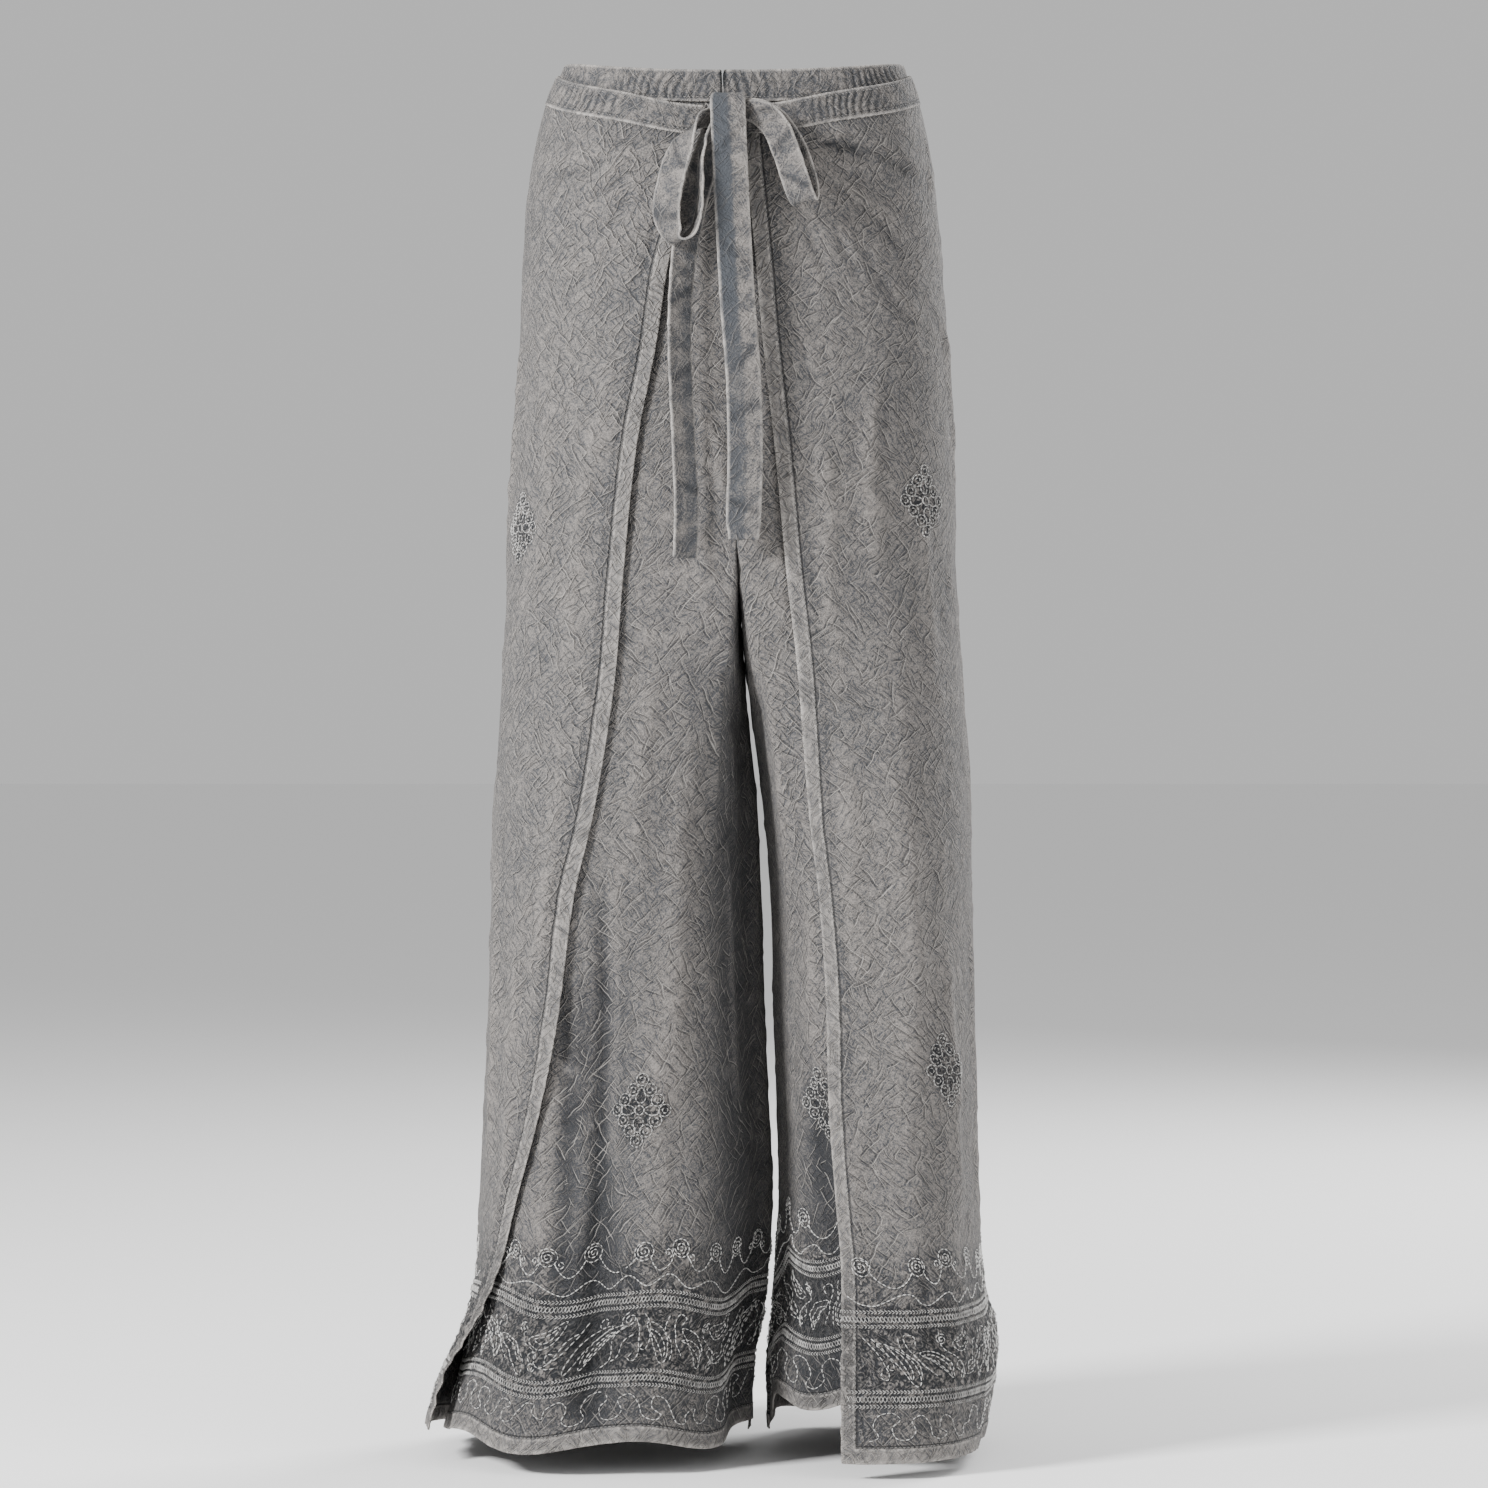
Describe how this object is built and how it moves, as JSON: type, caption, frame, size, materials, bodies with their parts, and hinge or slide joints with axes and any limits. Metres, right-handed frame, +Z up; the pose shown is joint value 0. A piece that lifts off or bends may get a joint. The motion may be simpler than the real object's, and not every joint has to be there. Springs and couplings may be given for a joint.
{
  "type": "wrap pants",
  "caption": "Worn wide-legged wrap trousers: wide back panels wrap forward over the front panels as two flaps, and the back waistband's ties make a bow at the front.",
  "frame": {"origin": "the centre of the waist opening, level with the waistband's top edge at the sides and back", "axes": "+Z up along the trousers' length, -Y to the front where the bow is, +X to the wearer's left"},
  "size_m": [0.4229, 0.2931, 1.0125],
  "materials": {
    "cloth": "washed rayon, crinkled and matt, taupe ridges over blue-grey valleys",
    "band": "the same washed rayon, folded and topstitched",
    "tie": "the same washed rayon, folded flat and topstitched along its edges"
  },
  "bodies": {
    "root": {"front_panel_right": "cloth", "front_panel_left": "cloth", "back_panel_right": "cloth", "back_panel_left": "cloth", "front_band_right": "band", "front_band_left": "band", "back_band": "band", "front_tie_right": "tie", "front_tie_left": "tie", "front_tie_tail_right": "tie", "front_tie_tail_left": "tie", "front_tie_knot": "tie", "knot": "tie", "bow_loop_right": "tie", "bow_loop_left": "tie", "bow_tail_centre": "tie", "bow_tail_right": "tie"}
  },
  "joints": []
}
